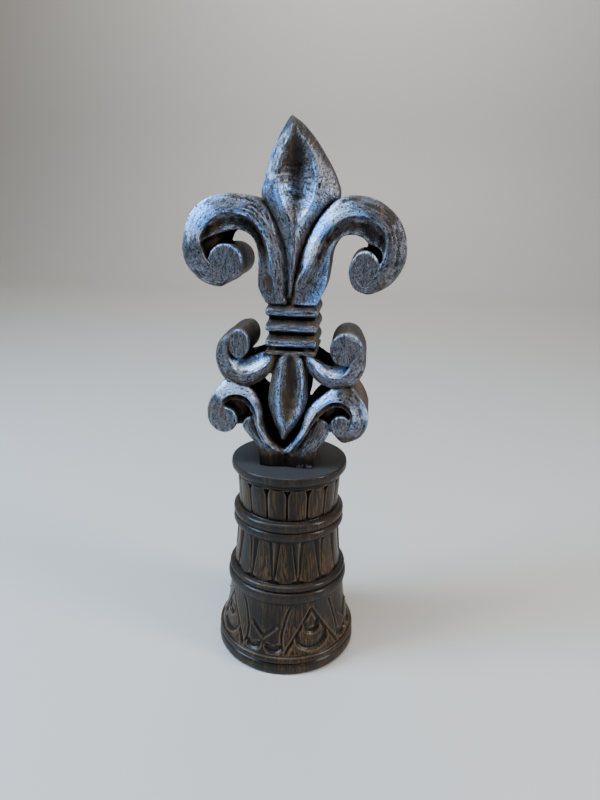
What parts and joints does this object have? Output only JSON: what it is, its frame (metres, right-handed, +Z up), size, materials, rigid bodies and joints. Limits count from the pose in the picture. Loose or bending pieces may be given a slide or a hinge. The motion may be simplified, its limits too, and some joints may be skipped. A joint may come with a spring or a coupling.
{
  "type": "fleur-de-lis finial",
  "caption": "Carved wooden fleur-de-lis on a turned and carved tapering pedestal, a finial that stands on its flat underside or crowns a post.",
  "frame": {"origin": "centre of the pedestal's flat underside, on the surface that the finial stands on", "axes": "+Z up through the fleur-de-lis, -Y out of its carved front face, +X to the right of someone who faces that front"},
  "size_m": [0.1506, 0.1114, 0.3978],
  "materials": {
    "brown_wood": "dark brown stained hardwood under satin varnish, blackened in the carving, rubbed lighter on the arrises",
    "silvered_wood": "worn silver-grey leaf over dark brown, blue-grey on the raised faces, brown and black in the hollows"
  },
  "bodies": {
    "root": {"pedestal": "brown_wood", "fleur_de_lis": "silvered_wood"}
  },
  "joints": []
}
